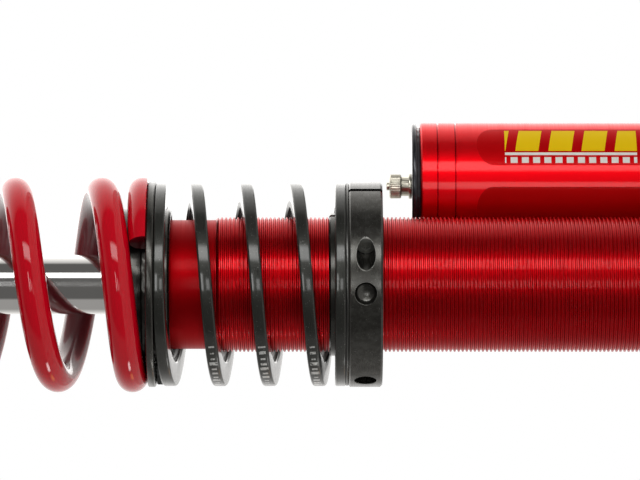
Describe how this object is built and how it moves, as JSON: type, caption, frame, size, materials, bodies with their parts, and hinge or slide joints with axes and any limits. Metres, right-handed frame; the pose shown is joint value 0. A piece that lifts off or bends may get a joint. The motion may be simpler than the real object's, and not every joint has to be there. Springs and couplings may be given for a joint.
{
  "type": "coilover",
  "caption": "Threaded coilover damper with piggyback reservoir, main and tender springs, ball-jointed eyes and adjusters.",
  "frame": {"origin": "centre of the lower eye's bearing", "axes": "+Z along the damper to the upper eye, +X towards the reservoir, Y along both eye bolts"},
  "size_m": [0.132, 0.08, 0.518],
  "materials": {
    "red_anodised": "red anodised, satin, turned",
    "red_powder": "gloss red powder coat",
    "dark_spring": "dark coated spring steel",
    "black_anodised": "black anodised",
    "adjuster_red": "red anodised, knurled",
    "hard_chrome": "hard chrome, ground",
    "alloy": "machined",
    "steel": "plain steel",
    "bearing_steel": "ground bearing steel",
    "spacer_steel": "zinc plated, turned",
    "nickel": "nickel plated",
    "black_steel": "black oxide",
    "bronze": "PTFE-lined bronze",
    "seal_rubber": "matt",
    "foam": "microcellular polyurethane"
  },
  "bodies": {
    "damper_body": {"bridge_block": "black_anodised", "body_tube": "red_anodised", "seal_head": "alloy", "rod_bush": "bronze", "shaft_seal": "seal_rubber", "wiper_seal": "seal_rubber", "seal_head_oring": "seal_rubber", "seal_head_ring": "steel", "reservoir_tube": "red_anodised", "reservoir_cap": "black_anodised", "reservoir_cap_oring": "seal_rubber", "reservoir_cap_ring": "steel", "base_valve": "alloy", "base_valve_shims": "steel", "base_valve_bolt": "steel", "valve_stem": "nickel", "passage_plug": "steel", "lower_bearing_race": "bearing_steel", "lower_circlips": "steel"},
    "band": {"piston_band": "bronze"},
    "rod": {"piston_rod": "hard_chrome", "piston": "alloy", "backing_washers": "steel", "compression_shims": "steel", "rebound_shims": "steel", "piston_nut": "steel", "top_out_bumper": "seal_rubber", "upper_eye": "black_anodised", "upper_bearing_race": "bearing_steel", "upper_circlips": "steel", "upper_spring_seat": "black_anodised", "spring_seat_ring": "steel", "bump_stop": "foam", "bump_stop_cup": "black_anodised"},
    "upper_ball_body": {"upper_ball": "bearing_steel"},
    "upper_spacer_body": {"upper_spacers": "spacer_steel"},
    "lower_ball_body": {"lower_ball": "bearing_steel"},
    "lower_spacer_body": {"lower_spacers": "spacer_steel"},
    "rebound_wheel_body": {"rebound_wheel": "adjuster_red"},
    "metering_rod_body": {"metering_rod": "steel"},
    "low_speed_knob_body": {"low_speed_knob": "adjuster_red"},
    "low_speed_needle_body": {"low_speed_needle": "steel"},
    "high_speed_knob_body": {"high_speed_knob": "adjuster_red"},
    "high_speed_pin_body": {"high_speed_pin": "steel"},
    "floating_piston_body": {"floating_piston": "alloy", "floating_piston_oring": "seal_rubber"},
    "valve_cap_body": {"valve_cap": "nickel"},
    "valve_pin_body": {"valve_pin": "nickel"},
    "washer_body": {"thrust_washer": "steel", "helper_spring": "dark_spring"},
    "collar_body": {"adjuster_collar": "black_anodised", "pinch_bolt": "black_steel"},
    "coupler_body": {"spring_coupler": "black_anodised", "main_spring": "red_powder"}
  },
  "joints": [
    {"name": "damper_stroke", "type": "slide", "parent": "damper_body", "child": "band", "axis": [0, 0, 1], "range_m": [-0.11, 0], "stiffness_N_per_m": 60000, "springref_m": 0.002, "deforming": ["main_spring", "helper_spring"]},
    {"name": "rod_swivel", "type": "hinge", "parent": "band", "child": "rod", "pos_m": [0, 0, 0.2], "axis": [0, 0, 1], "continuous": true},
    {"name": "upper_tilt", "type": "hinge", "parent": "rod", "child": "upper_ball_body", "pos_m": [0, 0, 0.478], "axis": [1, 0, 0], "range_deg": [-12, 12]},
    {"name": "upper_spin", "type": "hinge", "parent": "upper_ball_body", "child": "upper_spacer_body", "pos_m": [0, 0, 0.478], "axis": [0, 1, 0], "continuous": true},
    {"name": "lower_tilt", "type": "hinge", "parent": "damper_body", "child": "lower_ball_body", "pos_m": [0, 0, 0], "axis": [1, 0, 0], "range_deg": [-12, 12]},
    {"name": "lower_spin", "type": "hinge", "parent": "lower_ball_body", "child": "lower_spacer_body", "pos_m": [0, 0, 0], "axis": [0, 1, 0], "continuous": true},
    {"name": "rebound_turn", "type": "hinge", "parent": "rod", "child": "rebound_wheel_body", "pos_m": [0, 0, 0.4508], "axis": [0, 0, 1], "range_deg": [0, 1081]},
    {"name": "metering_slide", "type": "slide", "parent": "rod", "child": "metering_rod_body", "axis": [0, 0, 1], "range_m": [-0.003, 0]},
    {"name": "low_speed_turn", "type": "hinge", "parent": "damper_body", "child": "low_speed_knob_body", "pos_m": [0.082, 0, 0.035], "axis": [1, 0, 0], "range_deg": [-901, 0]},
    {"name": "low_needle_slide", "type": "slide", "parent": "damper_body", "child": "low_speed_needle_body", "axis": [1, 0, 0], "range_m": [-0.0025, 0]},
    {"name": "high_speed_turn", "type": "hinge", "parent": "damper_body", "child": "high_speed_knob_body", "pos_m": [0.053, 0, 0.026], "axis": [0, 0, -1], "range_deg": [-721, 0]},
    {"name": "high_pin_slide", "type": "slide", "parent": "damper_body", "child": "high_speed_pin_body", "axis": [0, 0, -1], "range_m": [-0.002, 0]},
    {"name": "floating_piston_slide", "type": "slide", "parent": "damper_body", "child": "floating_piston_body", "axis": [0, 0, 1], "range_m": [0, 0.0303]},
    {"name": "valve_cap_lift", "type": "slide", "parent": "damper_body", "child": "valve_cap_body", "axis": [0, 0, 1], "range_m": [0, 0.01]},
    {"name": "valve_pin_press", "type": "slide", "parent": "damper_body", "child": "valve_pin_body", "axis": [0, 0, 1], "range_m": [-0.001, 0], "stiffness_N_per_m": 300, "springref_m": 0.001},
    {"name": "preload_travel", "type": "slide", "parent": "damper_body", "child": "washer_body", "axis": [0, 0, 1], "range_m": [-0.011, 0]},
    {"name": "collar_turn", "type": "hinge", "parent": "washer_body", "child": "collar_body", "pos_m": [0, 0, 0.177], "axis": [0, 0, 1], "range_deg": [-2641, 0]},
    {"name": "coupler_travel", "type": "slide", "parent": "washer_body", "child": "coupler_body", "axis": [0, 0, 1], "range_m": [-0.0441, 0]}
  ],
  "couplings": [
    {"joint": "rebound_turn", "follows": "metering_slide", "rad_per_m": -6283.2},
    {"joint": "low_speed_turn", "follows": "low_needle_slide", "rad_per_m": 6283.2},
    {"joint": "high_speed_turn", "follows": "high_pin_slide", "rad_per_m": 6283.2},
    {"joint": "floating_piston_slide", "follows": "damper_stroke", "ratio": -0.27438},
    {"joint": "collar_turn", "follows": "preload_travel", "rad_per_m": 4188.8},
    {"joint": "coupler_travel", "follows": "damper_stroke", "ratio": 0.4}
  ]
}
